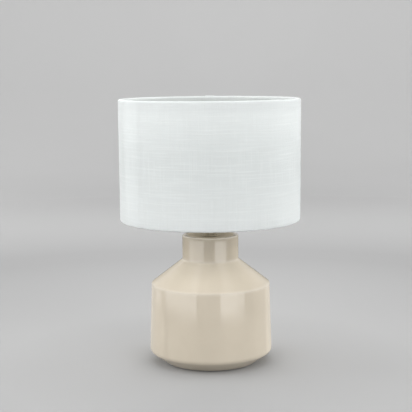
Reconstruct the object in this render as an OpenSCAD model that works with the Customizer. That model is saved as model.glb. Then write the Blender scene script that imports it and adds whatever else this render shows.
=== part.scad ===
// Table lamp with a drum shade on a glazed ceramic bottle base.
// Millimetres, +Z up. The origin is the centre of the resting face, the front is -Y,
// and the cord inlet is at the back, +Y.

/* [Ceramic base] */
// Height of the seat in the middle of the ceramic's dished top above the table
neck_top_z = 176; // [170:1:190]
// How far the rim of the dished top stands above that seat
rim_rise = 1.8; // [0:0.2:2]
// Diameter of the cylindrical neck
neck_d = 78; // [70:1:84]
// Height where the neck meets the sloping shoulder
neck_foot_z = 144; // [138:1:150]
// Diameter at the shoulder's outer edge
shoulder_d = 165; // [150:1:168]
// Height of the shoulder's outer edge
shoulder_z = 110.5; // [100:1:115]
// Diameter of the body where its side, carried straight down, meets the table
body_d = 172; // [165:1:180]
// Diameter of the ring that the body stands on, below its turned-under edge
foot_d = 131; // [124:1:138]
// Height where the side ends and the turned-under edge begins
turn_z = 16; // [14:0.5:18]
// Wall thickness of the cast ceramic
wall = 5; // [4:0.5:6]
// Width of the opening in the ceramic's floor
floor_hole_d = 60; // [40:1:80]

/* [Shade] */
// Outer diameter of the shade at its top rim
shade_top_d = 249.5; // [220:0.5:280]
// Outer diameter of the shade at its bottom rim
shade_bottom_d = 248.5; // [220:0.5:280]
// Height of the shade
shade_h = 166.5; // [140:0.5:200]
// Height of the shade's bottom rim above the neck's seat
shade_lift = 23; // [22.5:0.5:24]
// Thickness of the linen cover
fabric_t = 0.8; // [0.6:0.1:1]
// Thickness of the stiff lining behind the linen
liner_t = 0.6; // [0.4:0.1:0.8]
// Diameter of the wire in the rims and in the carrier arms
wire_d = 3; // [2.5:0.1:3.5]
// How far the linen is turned in at each rim
hem_h = 14; // [12:1:18]
// Number of arms that carry the shade
arm_count = 3; // [3:1:4]

/* [Lampholder] */
// Diameter of the holder's outer thread, which carries the shade's clamping ring
holder_thread_d = 39.2; // [38:0.1:40]
// Pitch of that thread
holder_pitch = 2.5; // [2:0.25:3]
// Diameter of the plate on the neck
seat_plate_d = 23.5; // [20:0.5:26]
// Diameter of the metal spacer between that plate and the holder
spacer_d = 14.4; // [13:0.2:16]
// Height of that spacer
spacer_h = 5; // [4:0.5:5.5]
// Height of the holder's shoulder, where the shade rests, above the neck's seat
seat_h = 27.5; // [27:0.5:28]
// Height of the holder's open end above the neck's seat
holder_h = 60; // [58:1:64]
// Outer diameter of the threaded hollow rod that holds it all together
rod_d = 9.9; // [9.5:0.1:10]
// Bore of that rod
rod_bore_d = 7.2; // [6:0.1:7.5]

/* [Lamp bulb] */
// Largest diameter of the bulb
bulb_d = 60; // [50:1:65]
// Length of the bulb over its contact
bulb_h = 106; // [98:1:115]
// Diameter over the screw cap
cap_d = 26.2; // [26:0.1:26.4]

/* [Cord inlet] */
// Bore of the inlet bush
inlet_bore_d = 7; // [5:0.5:8]
// Height of the inlet above the table
inlet_z = 30; // [28:1:40]

/* [Resting pad] */
// Diameter of the felt pad
pad_d = 110; // [90:1:114]
// Thickness of the felt pad
pad_t = 3; // [2:0.5:4]

/* [Hidden] */
$fn = 96;

ARC_STEPS = 10;         // segments in each rounded corner of an outline
FAR = 400;              // longer than the lamp, for cutting tools
GAP = 0.1;              // clearance between fixed pieces
RUN = 0.05;             // running clearance of the turning pieces
GLUE = 0.06;            // glue on each side of the shade's lining

// Base
pad_proud = 1.2;        // how far the pad stands below the ceramic foot
foot_z = pad_proud;
floor_z = foot_z + wall + 2;
neck_r = neck_d / 2;
body_r = body_d / 2;
shoulder_r = shoulder_d / 2;
rod_r = rod_d / 2;
dish_r = 15.5;                           // where the dish's slope would meet the flat seat
neck_floor = neck_top_z - wall - 1;      // underside of the neck's top wall
spot_r = 8.2;                            // flat seat of the inlet bush
spot_y = body_r - 1.3;
inlet_inside_y = body_r - wall - 1.3;

// Clamping stack on the neck, upwards
gasket_t = 0.8;
plate_t = 1.2;
spacer_z = neck_top_z + gasket_t + plate_t;
holder_z = spacer_z + spacer_h;
seat_z = neck_top_z + seat_h;
holder_top_z = neck_top_z + holder_h;

// Clamping stack inside the neck, downwards
inner_gasket_t = 1.5;
inner_washer_t = 1.5;
lock_t = 1.8;
nut_t = 4.2;
lock_z = neck_floor - inner_gasket_t - inner_washer_t - lock_t;
nut_z = lock_z - nut_t;
rod_low_z = nut_z - 5;
rod_high_z = holder_z + 8.5;

// Lampholder
cap_r = 19.5;
cap_foot_r = 10;
grub_z = holder_z + 2.4;
cap_top_z = seat_z - 3;
cap_cavity_r = 17.3;
skirt_in_r = 16;
thread_r = holder_thread_d / 2;
spigot_r = thread_r + 1;                 // plain land that the shade turns on
washer_t = 1.5;
washer_z = seat_z + RUN;
ring_z = washer_z + washer_t + RUN;
ring_h = 9;
block_low_z = cap_top_z - 1.5;
block_top_z = seat_z + 5.5;
shell_in_r = 13.4;
shell_t = 0.5;
terminal_x = 9;
rivet_r = 1;
rivet_long = 4.4;
rivet_hole = rivet_long + GAP;
shell_rivet_x = 11;
contact_y = -6;
contact_top_z = block_top_z + 2.5;

// Bulb
bulb_z = contact_top_z + GAP;
bulb_cap_z = bulb_z + 6;
bulb_neck_z = bulb_z + 26.4;
bulb_waist_z = bulb_z + 56;
bulb_r = bulb_d / 2;
bulb_top_z = bulb_z + bulb_h;
cap_skin = 0.4;
housing_skin = 1.4;
dome_skin = 1.2;

// Shade
shade_z = neck_top_z + shade_lift;
shade_top_z = shade_z + shade_h;
wire_r = wire_d / 2;
hem_in_r = wire_r + RUN;
hem_r = hem_in_r + fabric_t;
rim_top_r = shade_top_d / 2 - hem_r;     // centre line of the top rim's wire
rim_bottom_r = shade_bottom_d / 2 - hem_r;
rim_top_z = shade_top_z - hem_r;
rim_bottom_z = shade_z + hem_r;
washer_r = 30;
arm_in_r = 25;
arm_in_z = washer_z - wire_r;
weld = 0.4;             // how far an arm runs into the rim's wire
hem_turn = 200;         // how far round the wire the linen goes
liner_out_r = fabric_t + GLUE;           // depths behind the linen's outer face: the lining's outer face,
liner_in_r = liner_out_r + liner_t;      // the lining's inner face,
flap_r = liner_in_r + GLUE;              // and the turned-in linen

CERAMIC = [0.86, 0.81, 0.73];
LINEN = [0.95, 0.95, 0.94];
PLASTIC = [0.93, 0.92, 0.89];
STEEL = [0.72, 0.73, 0.74];
BRASS = [0.80, 0.66, 0.38];
RUBBER = [0.16, 0.16, 0.17];
GREY_RUBBER = [0.52, 0.49, 0.43];

// Outlines: each point is [radius, height, rounding of the corner].
function unit(v) = v / norm(v);
function corner(a, b, c) =
    let (r = b[2])
    r == 0 ? [[b[0], b[1]]] :
    let (
        u = unit([a[0] - b[0], a[1] - b[1]]),
        w = unit([c[0] - b[0], c[1] - b[1]]),
        half = acos(u * w) / 2,
        centre = [b[0], b[1]] + unit(u + w) * r / sin(half),
        start = [b[0], b[1]] + u * r / tan(half) - centre,
        turn = 180 - 2 * half,
        side = sign(u[1] * w[0] - u[0] * w[1])
    )
    [for (i = [0 : ARC_STEPS])
        let (t = side * turn * i / ARC_STEPS)
        centre + [start[0] * cos(t) - start[1] * sin(t), start[0] * sin(t) + start[1] * cos(t)]];
function rounded(p) =
    [for (i = [0 : len(p) - 1])
        each corner(p[(i + len(p) - 1) % len(p)], p[i], p[(i + 1) % len(p)])];

module turned(outline) {
    rotate_extrude() polygon(rounded(outline));
}

module tube(r_out, r_in, z, h) {
    translate([0, 0, z])
        difference() {
            cylinder(r = r_out, h = h);
            translate([0, 0, -1]) cylinder(r = r_in, h = h + 2);
        }
}

module torus(ring_r, r) {
    rotate_extrude() translate([ring_r, 0]) circle(r = r);
}

module around(count, start = 0) {
    for (i = [0 : count - 1]) rotate([0, 0, start + i * 360 / count]) children();
}

// ---------------------------------------------------------------- ceramic base

turn_r = body_r - (body_r - shoulder_r) * turn_z / shoulder_z;    // the side's radius at turn_z

function ceramic_outside() = [
    [0, foot_z, 0],
    [foot_d / 2, foot_z, 3],
    [turn_r, turn_z, 7],
    [shoulder_r, shoulder_z, 3.5],
    [neck_r, neck_foot_z, 3],
    [neck_r, neck_top_z + rim_rise, 2],
    [dish_r, neck_top_z, 12],
    [0, neck_top_z, 0]
];
function ceramic_inside() = [
    [0, floor_z, 0],
    [foot_d / 2 + 1, floor_z, 4],
    [turn_r - wall, turn_z + wall / 2, 5],
    [shoulder_r - wall, shoulder_z - 2, 3],
    [neck_r - wall, neck_foot_z - 2, 6],
    [neck_r - wall, neck_floor, 3],
    [0, neck_floor, 0]
];

module ceramic_body() {
    color(CERAMIC)
    difference() {
        turned(ceramic_outside());
        turned(ceramic_inside());
        translate([0, 0, neck_top_z - FAR / 8]) cylinder(r = rod_r + 0.3, h = FAR / 4);
        translate([0, 0, -1]) cylinder(d = floor_hole_d, h = FAR / 8);
        translate([0, 0, -1]) cylinder(d = pad_d + 1, h = pad_t + 1);
        translate([0, 0, inlet_z]) rotate([-90, 0, 0]) cylinder(r = inlet_bore_d / 2 + 1.5, h = FAR / 4);
        translate([0, spot_y, inlet_z]) rotate([-90, 0, 0]) cylinder(r = spot_r, h = 5);
    }
}

module base_pad() {
    color([0.22, 0.21, 0.20])
    cylinder(d = pad_d, h = pad_t - RUN);
}

// A rubber bush with a flange on each side of the wall.
module cord_grommet() {
    bore_r = inlet_bore_d / 2;
    inner_t = 2;
    outer_t = 2.2;
    long = spot_y - inlet_inside_y;
    color(RUBBER)
    translate([0, inlet_inside_y, inlet_z]) rotate([-90, 0, 0])
        turned([
            [bore_r, -inner_t, 0],
            [bore_r + 3.2, -inner_t, 0.6],
            [bore_r + 3.2, 0, 0],
            [bore_r + 1.4, 0, 0],
            [bore_r + 1.4, long, 0],
            [bore_r + 4, long, 0],
            [bore_r + 4, long + outer_t, 1],
            [bore_r, long + outer_t, 0]
        ]);
}

// ---------------------------------------------------------------- clamping stack

module neck_gasket() {
    color(GREY_RUBBER) tube(seat_plate_d / 2 - 1.2, rod_r + 0.3, neck_top_z, gasket_t);
}

module seat_plate() {
    color(STEEL)
    turned([
        [rod_r + 0.25, neck_top_z + gasket_t, 0],
        [seat_plate_d / 2, neck_top_z + gasket_t, 0.3],
        [seat_plate_d / 2, spacer_z, 0.5],
        [rod_r + 0.25, spacer_z, 0]
    ]);
}

// A metal tube that carries the holder clear of the dished top.
module neck_spacer() {
    color(STEEL)
    turned([
        [rod_r + 0.2, spacer_z, 0],
        [spacer_d / 2, spacer_z, 0.2],
        [spacer_d / 2, holder_z, 0.2],
        [rod_r + 0.2, holder_z, 0]
    ]);
}

module threaded_rod() {
    color(STEEL)
    tube(rod_r, rod_bore_d / 2, rod_low_z, rod_high_z - rod_low_z);
}

// A smooth plastic bush in the rod's lower end, so that its edge can't cut a lead.
module rod_bush() {
    in_r = rod_bore_d / 2 - 0.8;
    color([0.12, 0.12, 0.13])
    turned([
        [in_r, rod_low_z - 2, 0.4],
        [rod_r, rod_low_z - 2, 0.6],
        [rod_r, rod_low_z, 0],
        [rod_bore_d / 2 - RUN, rod_low_z, 0],
        [rod_bore_d / 2 - RUN, rod_low_z + 6, 0],
        [in_r, rod_low_z + 6, 0]
    ]);
}

module inner_gasket() {
    color(RUBBER) tube(14, rod_r + 0.3, neck_floor - inner_gasket_t, inner_gasket_t);
}

module inner_washer() {
    color(STEEL) tube(14, rod_r + 0.25, lock_z + lock_t, inner_washer_t);
}

module lock_washer() {
    color(STEEL)
    difference() {
        tube(8.5, rod_r + 0.2, lock_z, lock_t);
        translate([0, 7, lock_z + lock_t / 2]) rotate([0, 25, 0]) cube([1.2, 8, 3 * lock_t], center = true);
    }
}

module hex_nut() {
    across_flats = 14;
    color(STEEL)
    translate([0, 0, nut_z])
        difference() {
            cylinder(d = across_flats / cos(30), h = nut_t, $fn = 6);
            translate([0, 0, -1]) cylinder(r = rod_r + RUN, h = nut_t + 2);
        }
}

// ---------------------------------------------------------------- lampholder

module holder_cap() {
    boss_z = holder_z + 6.5;
    color(PLASTIC)
    difference() {
        turned([
            [rod_r + RUN, holder_z, 0],
            [cap_foot_r, holder_z, 0.5],
            [cap_foot_r, holder_z + 4.6, 1],
            [cap_r, holder_z + 9, 3],
            [cap_r, cap_top_z, 0.3],
            [cap_cavity_r, cap_top_z, 0],
            [cap_cavity_r, holder_z + 11, 2],
            [rod_r + 3, boss_z, 0],
            [rod_r + RUN, boss_z, 0]
        ]);
        translate([0, rod_r, grub_z]) rotate([-90, 0, 0]) cylinder(r = 1.55, h = FAR / 8);
    }
}

// Grub screw that stops the cap turning on the rod.
module cap_lock_screw() {
    long = cap_foot_r - rod_r - 0.5;
    color(STEEL)
    translate([0, rod_r + RUN, grub_z]) rotate([-90, 0, 0])
        difference() {
            cylinder(r = 1.5, h = long);
            translate([-2, -0.3, long - 1]) cube([4, 0.6, 2]);
        }
}

// The outer thread is a row of grooves at the thread's pitch.
module holder_skirt() {
    groove = 0.7;
    thread_z = washer_z + washer_t;
    turns = floor((holder_top_z - 3 - thread_z) / holder_pitch);
    color(PLASTIC)
    difference() {
        turned([
            [skirt_in_r, cap_top_z - 4.5, 0],
            [cap_cavity_r - GAP, cap_top_z - 4.5, 0],
            [cap_cavity_r - GAP, cap_top_z, 0],
            [23, cap_top_z, 0.6],
            [23, seat_z, 0.3],
            [spigot_r, seat_z, 0],
            [spigot_r, thread_z, 0],
            [thread_r, thread_z, 0],
            [thread_r, holder_top_z, 0.8],
            [14.3, holder_top_z, 0.5],
            [14.3, holder_top_z - 2, 0],
            [skirt_in_r, holder_top_z - 3, 0]
        ]);
        rotate_extrude()
            for (i = [1 : turns])
                translate([thread_r, thread_z + (i - 0.5) * holder_pitch])
                    polygon([[1, -1.4], [-groove, -0.2], [-groove, 0.2], [1, 1.4]]);
    }
}

module contact_block() {
    color([0.90, 0.89, 0.86])
    difference() {
        turned([
            [0, block_low_z + 1, 0],
            [skirt_in_r - 0.2, block_low_z + 1, 0.3],
            [skirt_in_r - 0.2, block_top_z, 0.5],
            [0, block_top_z, 0]
        ]);
        for (s = [-1, 1]) {
            translate([s * terminal_x, 0, block_low_z]) cylinder(r = 1.55, h = 5.2);
            translate([s * shell_rivet_x, 0, block_top_z - rivet_hole]) cylinder(r = rivet_r + RUN, h = 6);
            translate([s * 4.5, 7, block_low_z]) cylinder(r = 1.8, h = FAR / 16);
        }
        translate([0, contact_y, block_top_z - rivet_hole]) cylinder(r = rivet_r + RUN, h = 6);
    }
}

// Brass plates that the two leads are clamped to.
module terminal_plates() {
    color(BRASS)
    for (s = [-1, 1])
        translate([s * terminal_x, 0, block_low_z])
            difference() {
                translate([-3, -4, 0]) cube([6, 8, 1]);
                translate([0, 0, -1]) cylinder(r = 1.6, h = 3);
            }
}

module terminal_screws() {
    color(STEEL)
    for (s = [-1, 1])
        translate([s * terminal_x, 0, block_low_z]) {
            cylinder(r = 1.5, h = 5);
            translate([0, 0, -2])
                difference() {
                    cylinder(r = 2.8, h = 2);
                    translate([-3, -0.4, -1]) cube([6, 0.8, 1.9]);
                }
        }
}

module screw_shell() {
    top_z = holder_top_z - 2.5;
    color(BRASS)
    difference() {
        turned([
            [9, block_top_z, 0],
            [shell_in_r + shell_t, block_top_z, 0.4],
            [shell_in_r + shell_t, top_z, 0],
            [shell_in_r, top_z, 0],
            [shell_in_r, block_top_z + shell_t, 0.2],
            [9, block_top_z + shell_t, 0]
        ]);
        for (s = [-1, 1])
            translate([s * shell_rivet_x, 0, block_top_z - 1]) cylinder(r = rivet_r + RUN, h = 3);
    }
}

// A sprung brass tongue, riveted at one end, that the bulb presses on.
module centre_contact() {
    strip = 0.5;
    wide = 5;
    rise = contact_top_z - block_top_z;
    color(BRASS)
    difference() {
        translate([wide / 2, 0, block_top_z]) rotate([90, 0, -90])
            linear_extrude(height = wide)
                polygon([
                    [8, 0], [3.5, 0], [-2, rise - strip], [-4, rise - strip - 0.4],
                    [-4, rise - 0.4], [-2, rise], [3.7, strip], [8, strip]
                ]);
        translate([0, contact_y, block_top_z - 1]) cylinder(r = rivet_r + RUN, h = 3);
    }
}

module rivet(x, y) {
    strip = 0.5;
    translate([x, y, block_top_z - rivet_long]) cylinder(r = rivet_r, h = rivet_long + strip);
    translate([x, y, block_top_z + strip]) cylinder(r1 = 1.8, r2 = 1.2, h = 0.6);
}

module contact_rivets() {
    color(STEEL) {
        for (s = [-1, 1]) rivet(s * shell_rivet_x, 0);
        rivet(0, contact_y);
    }
}

// ---------------------------------------------------------------- clamping ring

// Turns on the holder's outer thread and presses the shade's carrier on its seat.
module shade_ring() {
    grips = 16;
    hub_r = 24.5;
    color(PLASTIC)
    difference() {
        turned([
            [thread_r + RUN, ring_z, 0],
            [28, ring_z, 0.4],
            [28, ring_z + 2.5, 0.8],
            [hub_r, ring_z + 2.5, 0.5],
            [hub_r, ring_z + ring_h, 0.8],
            [thread_r + RUN, ring_z + ring_h, 0]
        ]);
        around(grips) translate([hub_r + 1, 0, ring_z + 2.5]) cylinder(r = 2, h = FAR / 16);
    }
}

// ---------------------------------------------------------------- shade

// The side of the shade between two depths behind its outer face.
function shade_wall(outer, inner, bottom, top) = [
    [shade_bottom_d / 2 - outer, bottom], [shade_bottom_d / 2 - inner, bottom],
    [shade_top_d / 2 - inner, top], [shade_top_d / 2 - outer, top]
];

// One face of the linen where it is turned in at a rim: round the wire at radius r, slanting
// back to the lining, then along it to the cut edge. up is 1 at the top rim, -1 at the bottom.
function hem_face(rim, rim_d, r, depth, up) =
    let (
        x_end = rim_d / 2 - depth,
        last = rim + r * [cos(hem_turn), up * sin(hem_turn)],
        slant = (x_end - last[0]) / -sin(hem_turn)
    )
    concat(
        [for (i = [0 : 2 * ARC_STEPS])
            let (a = hem_turn * i / (2 * ARC_STEPS))
            rim + r * [cos(a), up * sin(a)]],
        [[x_end, last[1] + up * slant * cos(hem_turn)],
         [x_end, rim[1] + up * (hem_r - hem_h)]]
    );
function reversed(p) = [for (i = [len(p) - 1 : -1 : 0]) p[i]];

// The cover: one piece of linen, turned round each rim's wire and glued inside the lining.
module shade_fabric() {
    top = [rim_top_r, rim_top_z];
    bottom = [rim_bottom_r, rim_bottom_z];
    color(LINEN)
    difference() {
        rotate_extrude()
            polygon(concat(
                reversed(hem_face(bottom, shade_bottom_d, hem_r, flap_r + fabric_t, -1)),
                hem_face(top, shade_top_d, hem_r, flap_r + fabric_t, 1),
                reversed(hem_face(top, shade_top_d, hem_in_r, flap_r, 1)),
                hem_face(bottom, shade_bottom_d, hem_in_r, flap_r, -1)
            ));
        around(arm_count, 90)
            translate([rim_bottom_r - hem_h, 0, rim_bottom_z]) rotate([0, 90, 0])
                cylinder(r = wire_r + 0.4, h = hem_h);
    }
}

module shade_liner() {
    end = hem_in_r + GAP;
    color([0.93, 0.93, 0.91])
    rotate_extrude()
        polygon(shade_wall(liner_out_r, liner_in_r, rim_bottom_z + end, rim_top_z - end));
}

module top_ring() {
    color(PLASTIC) translate([0, 0, rim_top_z]) torus(rim_top_r, wire_r);
}

module bottom_ring() {
    color(PLASTIC) translate([0, 0, rim_bottom_z]) torus(rim_bottom_r, wire_r);
}

// Straight wires, welded to the bottom rim and to the underside of the washer.
module carrier_arms() {
    long = rim_bottom_r - wire_r + weld - arm_in_r;
    fall = atan2(arm_in_z - rim_bottom_z, rim_bottom_r - arm_in_r);
    color(PLASTIC)
    around(arm_count, 90)
        translate([arm_in_r, 0, arm_in_z]) rotate([0, 90 + fall, 0]) cylinder(r = wire_r, h = long);
}

module carrier_washer() {
    color(PLASTIC)
    turned([
        [spigot_r + RUN, washer_z, 0],
        [washer_r, washer_z, 0],
        [washer_r, washer_z + washer_t, 0.4],
        [spigot_r + RUN, washer_z + washer_t, 0]
    ]);
}

// ---------------------------------------------------------------- bulb

module bulb_contact() {
    color([0.75, 0.75, 0.74])
    turned([
        [0, bulb_z, 0],
        [3, bulb_z, 1.2],
        [4.6, bulb_z + 1.5, 0],
        [0, bulb_z + 1.5, 0]
    ]);
}

module bulb_insulator() {
    color([0.08, 0.08, 0.09])
    turned([
        [0, bulb_z + 1.5, 0],
        [5, bulb_z + 1.5, 0],
        [10.4, bulb_cap_z - 0.2, 0],
        [10.4, bulb_cap_z + 1.5, 0],
        [0, bulb_cap_z + 1.5, 0]
    ]);
}

module bulb_cap() {
    r = cap_d / 2;
    color(STEEL)
    turned([
        [10.45, bulb_cap_z, 0],
        [r - 0.8, bulb_cap_z, 0.5],
        [r, bulb_cap_z + 2.5, 0.5],
        [r, bulb_neck_z - 0.5, 0],
        [r - cap_skin, bulb_neck_z - 0.5, 0],
        [r - cap_skin, bulb_cap_z + 2.6, 0.3],
        [r - 1.2, bulb_cap_z + 0.5, 0],
        [10.45, bulb_cap_z + 0.5, 0]
    ]);
}

module bulb_housing() {
    r = cap_d / 2;
    board_z = bulb_waist_z - 6;
    color([0.94, 0.94, 0.93])
    turned([
        [r - cap_skin - 1.6, bulb_neck_z - 6, 0],
        [r - cap_skin - RUN, bulb_neck_z - 6, 0],
        [r - cap_skin - RUN, bulb_neck_z - 0.5, 0],
        [r + 0.4, bulb_neck_z - 0.5, 0.4],
        [r + 1.2, bulb_neck_z + 8, 14],
        [bulb_r - 3.5, bulb_waist_z - 4, 6],
        [bulb_r - 2.4, bulb_waist_z, 0],
        [bulb_r - 2.4 - housing_skin, bulb_waist_z, 0],
        [bulb_r - 4.9, board_z + 2, 0],
        [bulb_r - 8, board_z, 0],
        [r - 0.5, bulb_neck_z + 9, 8]
    ]);
}

module led_board() {
    color([0.82, 0.83, 0.84]) {
        translate([0, 0, bulb_waist_z - 2.6]) cylinder(r = bulb_r - 6.6, h = 1.6);
        around(6) translate([15, -1.5, bulb_waist_z - 1]) cube([3, 3, 0.8]);
    }
}

// The opal dome: most of a sphere that runs down to the housing's rim.
module bulb_dome() {
    centre_z = bulb_top_z - bulb_r;
    color([0.97, 0.97, 0.95])
    rotate_extrude()
        difference() {
            intersection() {
                union() {
                    translate([0, centre_z]) circle(r = bulb_r);
                    polygon([[0, bulb_waist_z], [bulb_r - 2.4, bulb_waist_z],
                             [bulb_r - 0.2, centre_z - 3], [0, centre_z - 3]]);
                }
                translate([0, bulb_waist_z]) square([bulb_r + 1, bulb_h]);
            }
            translate([0, centre_z]) circle(r = bulb_r - dome_skin);
            polygon([[0, bulb_waist_z - 1], [bulb_r - 2.5 - dome_skin, bulb_waist_z - 1],
                     [bulb_r - 0.2 - dome_skin, centre_z - 3], [0, centre_z - 3]]);
        }
}

ceramic_body();
base_pad();
cord_grommet();
neck_gasket();
seat_plate();
neck_spacer();
threaded_rod();
rod_bush();
inner_gasket();
inner_washer();
lock_washer();
hex_nut();
holder_cap();
cap_lock_screw();
holder_skirt();
contact_block();
terminal_plates();
terminal_screws();
screw_shell();
centre_contact();
contact_rivets();
shade_ring();
shade_fabric();
shade_liner();
top_ring();
bottom_ring();
carrier_arms();
carrier_washer();
bulb_contact();
bulb_insulator();
bulb_cap();
bulb_housing();
led_board();
bulb_dome();
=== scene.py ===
import math

import bpy
import numpy as np
from mathutils import Matrix, Vector, noise


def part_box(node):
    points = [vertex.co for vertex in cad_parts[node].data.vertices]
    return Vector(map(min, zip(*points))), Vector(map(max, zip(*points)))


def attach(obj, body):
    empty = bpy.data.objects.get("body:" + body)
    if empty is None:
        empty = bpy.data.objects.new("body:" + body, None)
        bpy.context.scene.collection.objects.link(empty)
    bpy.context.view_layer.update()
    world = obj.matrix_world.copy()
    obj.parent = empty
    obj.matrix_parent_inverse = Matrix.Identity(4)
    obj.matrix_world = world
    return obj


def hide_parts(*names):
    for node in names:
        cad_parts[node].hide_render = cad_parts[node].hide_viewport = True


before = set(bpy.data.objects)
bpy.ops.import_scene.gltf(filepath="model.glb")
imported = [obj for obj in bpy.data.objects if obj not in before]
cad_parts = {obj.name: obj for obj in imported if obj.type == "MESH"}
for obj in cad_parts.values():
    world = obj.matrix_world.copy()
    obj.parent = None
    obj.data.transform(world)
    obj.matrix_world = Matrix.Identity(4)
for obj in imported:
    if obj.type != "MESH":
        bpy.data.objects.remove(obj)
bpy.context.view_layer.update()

MM = 0.001
SEED = 20


# ------------------------------------------------------------------ node materials

class Look:
    """A node material, with short calls for the nodes used here."""

    def __init__(self, name):
        self.mat = bpy.data.materials.new(name)
        self.mat.use_nodes = True
        self.tree = self.mat.node_tree
        self.tree.nodes.clear()

    def put(self, socket, value):
        if isinstance(value, bpy.types.NodeSocket):
            self.tree.links.new(value, socket)
        elif value is not None:
            if socket.type == "RGBA" and len(value) == 3:
                value = (*value, 1.0)
            socket.default_value = value

    def node(self, kind, sockets=None, **settings):
        made = self.tree.nodes.new(kind)
        for key, value in settings.items():
            setattr(made, key, value)
        for key, value in (sockets or {}).items():
            self.put(made.inputs[key], value)
        return made

    def place(self):
        """Object coordinates in metres; they turn with the piece."""
        return self.node("ShaderNodeTexCoord").outputs["Object"]

    def attribute(self, name):
        return self.node("ShaderNodeAttribute", attribute_name=name)

    def math(self, operation, a, b=0.0, clamp=False):
        made = self.node("ShaderNodeMath", {0: a, 1: b}, operation=operation, use_clamp=clamp)
        return made.outputs[0]

    def stretch(self, vector, scale):
        made = self.node("ShaderNodeVectorMath", {0: vector, 1: scale}, operation="MULTIPLY")
        return made.outputs[0]

    def noise(self, vector, scale, detail=2.0, roughness=0.5, distortion=0.0):
        made = self.node("ShaderNodeTexNoise", {
            "Vector": vector, "Scale": scale, "Detail": detail,
            "Roughness": roughness, "Distortion": distortion,
        })
        return made.outputs["Fac"]

    def ramp(self, value, low, high, out_low=0.0, out_high=1.0):
        """value from low..high to out_low..out_high, held at the ends."""
        made = self.node("ShaderNodeMapRange", {
            "Value": value, "From Min": low, "From Max": high,
            "To Min": out_low, "To Max": out_high,
        }, clamp=True)
        return made.outputs["Result"]

    def blend(self, share, a, b):
        made = self.node("ShaderNodeMix", data_type="RGBA")
        self.put(made.inputs[0], share)
        self.put(made.inputs[6], a)
        self.put(made.inputs[7], b)
        return made.outputs[2]

    def bump(self, height, distance, strength=1.0, normal=None):
        made = self.node("ShaderNodeBump", {
            "Height": height, "Distance": distance, "Strength": strength, "Normal": normal,
        })
        return made.outputs["Normal"]

    def principled(self, **sockets):
        names = {key.replace("_", " "): value for key, value in sockets.items()}
        return self.node("ShaderNodeBsdfPrincipled", names).outputs["BSDF"]

    def mixed(self, share, first, second):
        """Two shaders in one; share is the second's part."""
        made = self.node("ShaderNodeMixShader", {0: share})
        self.put(made.inputs[1], first)
        self.put(made.inputs[2], second)
        return made.outputs[0]

    def finish(self, shader):
        out = self.node("ShaderNodeOutputMaterial")
        self.tree.links.new(shader, out.inputs["Surface"])
        return self.mat


def make_glaze():
    """Cream gloss glaze: paler on the edges, where the glaze runs thin and where highlights are painted;
    darker and warmer on the dished top, as painted shade.
    """
    look = Look("cream_glaze")
    place = look.place()
    drift = look.noise(place, 16.0, 3.0)
    tone = look.blend(look.ramp(drift, 0.35, 0.65), (0.530, 0.470, 0.377), (0.562, 0.500, 0.404))
    edge = look.attribute("edge").outputs["Fac"]
    # paler on the edges: thin glaze, and painted highlights along the shoulder's crease and the neck's
    # foot
    tone = look.blend(look.ramp(edge, 0.0, 1.0, 0.0, 0.50), tone, (0.640, 0.590, 0.515))
    # painted shade: darker and warmer on the dished top, under the lampshade
    tone = look.blend(look.ramp(edge, -1.0, 0.0, 0.45, 0.0), tone, (0.470, 0.385, 0.265))
    specks = look.ramp(look.noise(place, 1400.0, 1.0), 0.74, 0.80)
    tone = look.blend(look.math("MULTIPLY", specks, 0.25), tone, (0.42, 0.34, 0.25))
    ripple = look.noise(place, 60.0, 2.0, 0.4)
    peel = look.noise(place, 420.0, 1.0)
    pits = look.ramp(look.noise(place, 700.0, 0.0), 0.10, 0.22)
    normal = look.bump(ripple, 0.00009, 0.35)
    normal = look.bump(peel, 0.00001, 0.25, normal)
    normal = look.bump(pits, 0.00008, 0.3, normal)
    rough = look.ramp(look.noise(place, 35.0, 3.0), 0.3, 0.7, 0.012, 0.035)
    # the dished top, where the glaze is wiped thin, stays dull
    rough = look.math("ADD", rough, look.ramp(edge, -0.8, -0.5, 0.55, 0.0))
    gloss = look.ramp(edge, -0.8, -0.5, 0.08, 0.5)
    return look.finish(look.principled(
        Base_Color=tone, Roughness=rough, IOR=1.52, Normal=normal, Specular_IOR_Level=gloss,
    ))


def make_bisque():
    """Unglazed fired clay, inside the base and on its foot ring."""
    look = Look("bisque_clay")
    place = look.place()
    grain = look.noise(place, 900.0, 4.0, 0.7)
    tone = look.blend(grain, (0.66, 0.60, 0.52), (0.80, 0.75, 0.67))
    return look.finish(look.principled(
        Base_Color=tone, Roughness=0.9, Normal=look.bump(grain, 0.0003, 0.5),
    ))


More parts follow.
